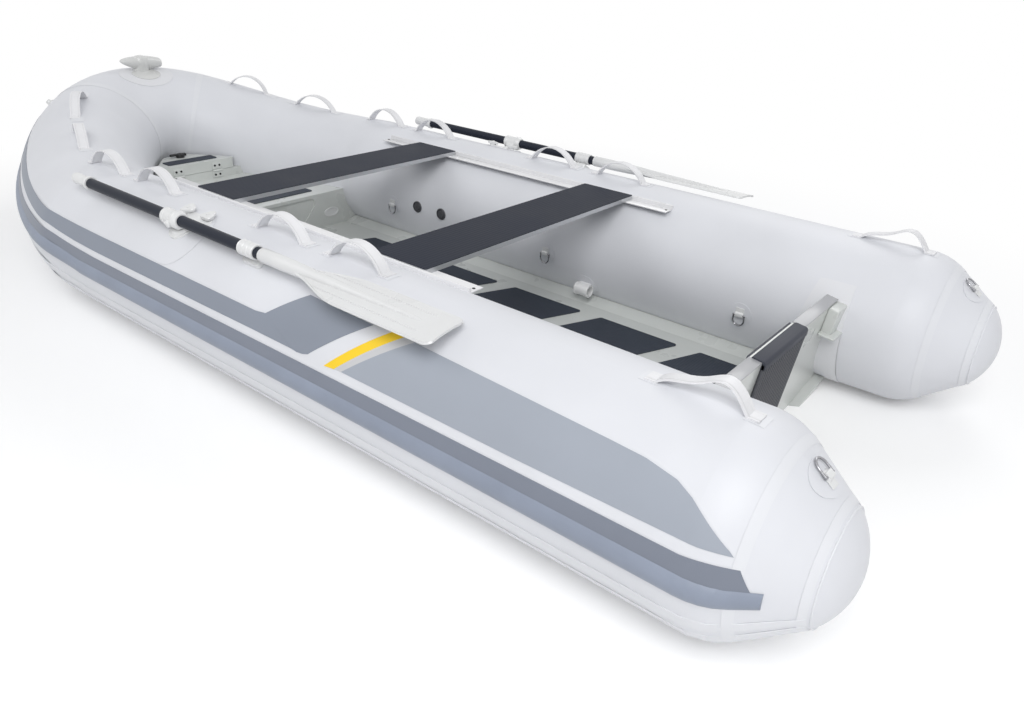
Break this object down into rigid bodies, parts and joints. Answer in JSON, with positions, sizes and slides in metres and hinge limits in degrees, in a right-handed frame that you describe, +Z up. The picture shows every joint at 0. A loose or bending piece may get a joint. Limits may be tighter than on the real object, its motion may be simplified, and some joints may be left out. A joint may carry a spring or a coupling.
{
  "type": "rigid inflatable boat",
  "caption": "Rigid inflatable tender with V hull, inflated tubes, sliding benches, bow locker, transom and stowed oars that swing on their rowlocks.",
  "frame": {"origin": "on the centre plane at the light waterline, below the top of the transom", "axes": "+X to the bow, +Y to port, +Z up"},
  "size_m": [3.6739, 1.7082, 0.775],
  "materials": {
    "tube_fabric": "matt coated fabric",
    "webbing": "moulded webbing",
    "strake_rubber": "satin",
    "gelcoat": "gelcoat",
    "dark_pad": "matt",
    "bench_top": "matt",
    "ring_steel": "polished",
    "dark_plastic": "satin",
    "hinge_steel": "brushed",
    "oar_shaft": "dark anodised",
    "white_plastic": "satin"
  },
  "bodies": {
    "hull": {"bow_cleat": "white_plastic", "bow_step": "gelcoat", "bow_tube_nose": "tube_fabric", "bow_tube_port": "tube_fabric", "bow_tube_starboard": "tube_fabric", "deck": "gelcoat", "deck_pads": "dark_pad", "handles_after": "webbing", "handles_bow": "webbing", "handles_fore": "webbing", "handles_locker": "webbing", "handles_mid": "webbing", "handles_shoulder": "webbing", "handles_stern": "webbing", "hull_shell": "gelcoat", "locker_body": "gelcoat", "locker_hinges": "hinge_steel", "motor_pad_inner": "dark_pad", "motor_pad_outer": "dark_pad", "oar_rests": "white_plastic", "pole_sockets": "white_plastic", "rail_port": "white_plastic", "rail_starboard": "white_plastic", "rings_aft": "ring_steel", "rings_fore": "ring_steel", "rings_mid": "ring_steel", "rings_stern": "ring_steel", "rowlock_port": "white_plastic", "rowlock_starboard": "white_plastic", "step_pad": "dark_pad", "strake_port": "strake_rubber", "strake_starboard": "strake_rubber", "transom": "gelcoat", "transom_knees": "gelcoat", "tube_port": "tube_fabric", "tube_starboard": "tube_fabric", "valves": "dark_plastic"},
    "bench_fore": {"bench_fore": "bench_top"},
    "bench_aft": {"bench_aft": "bench_top"},
    "locker_lid": {"locker_lid": "gelcoat", "lid_latch": "dark_plastic", "lid_pad": "dark_pad"},
    "oar_port": {"oar_shaft_port": "oar_shaft", "oar_grip_port": "white_plastic", "oar_clamp_port": "white_plastic", "oar_blade_port": "white_plastic"},
    "oar_starboard": {"oar_shaft_starboard": "oar_shaft", "oar_grip_starboard": "white_plastic", "oar_clamp_starboard": "white_plastic", "oar_blade_starboard": "white_plastic"}
  },
  "joints": [
    {"name": "bench_fore_slide", "type": "slide", "parent": "hull", "child": "bench_fore", "axis": [1, 0, 0], "range_m": [-0.25, 0.15]},
    {"name": "bench_aft_slide", "type": "slide", "parent": "hull", "child": "bench_aft", "axis": [1, 0, 0], "range_m": [-0.13, 0.3]},
    {"name": "locker_lid_hinge", "type": "hinge", "parent": "hull", "child": "locker_lid", "pos_m": [2.6007, 0, 0.237], "axis": [0, -1, 0], "range_deg": [0, 105]},
    {"name": "oar_port_swing", "type": "hinge", "parent": "hull", "child": "oar_port", "pos_m": [1.472, 0.747, 0.46883], "axis": [0, -0.5, -0.866], "range_deg": [0, 130]},
    {"name": "oar_starboard_swing", "type": "hinge", "parent": "hull", "child": "oar_starboard", "pos_m": [1.472, -0.747, 0.46883], "axis": [0, -0.5, 0.866], "range_deg": [0, 130]}
  ]
}
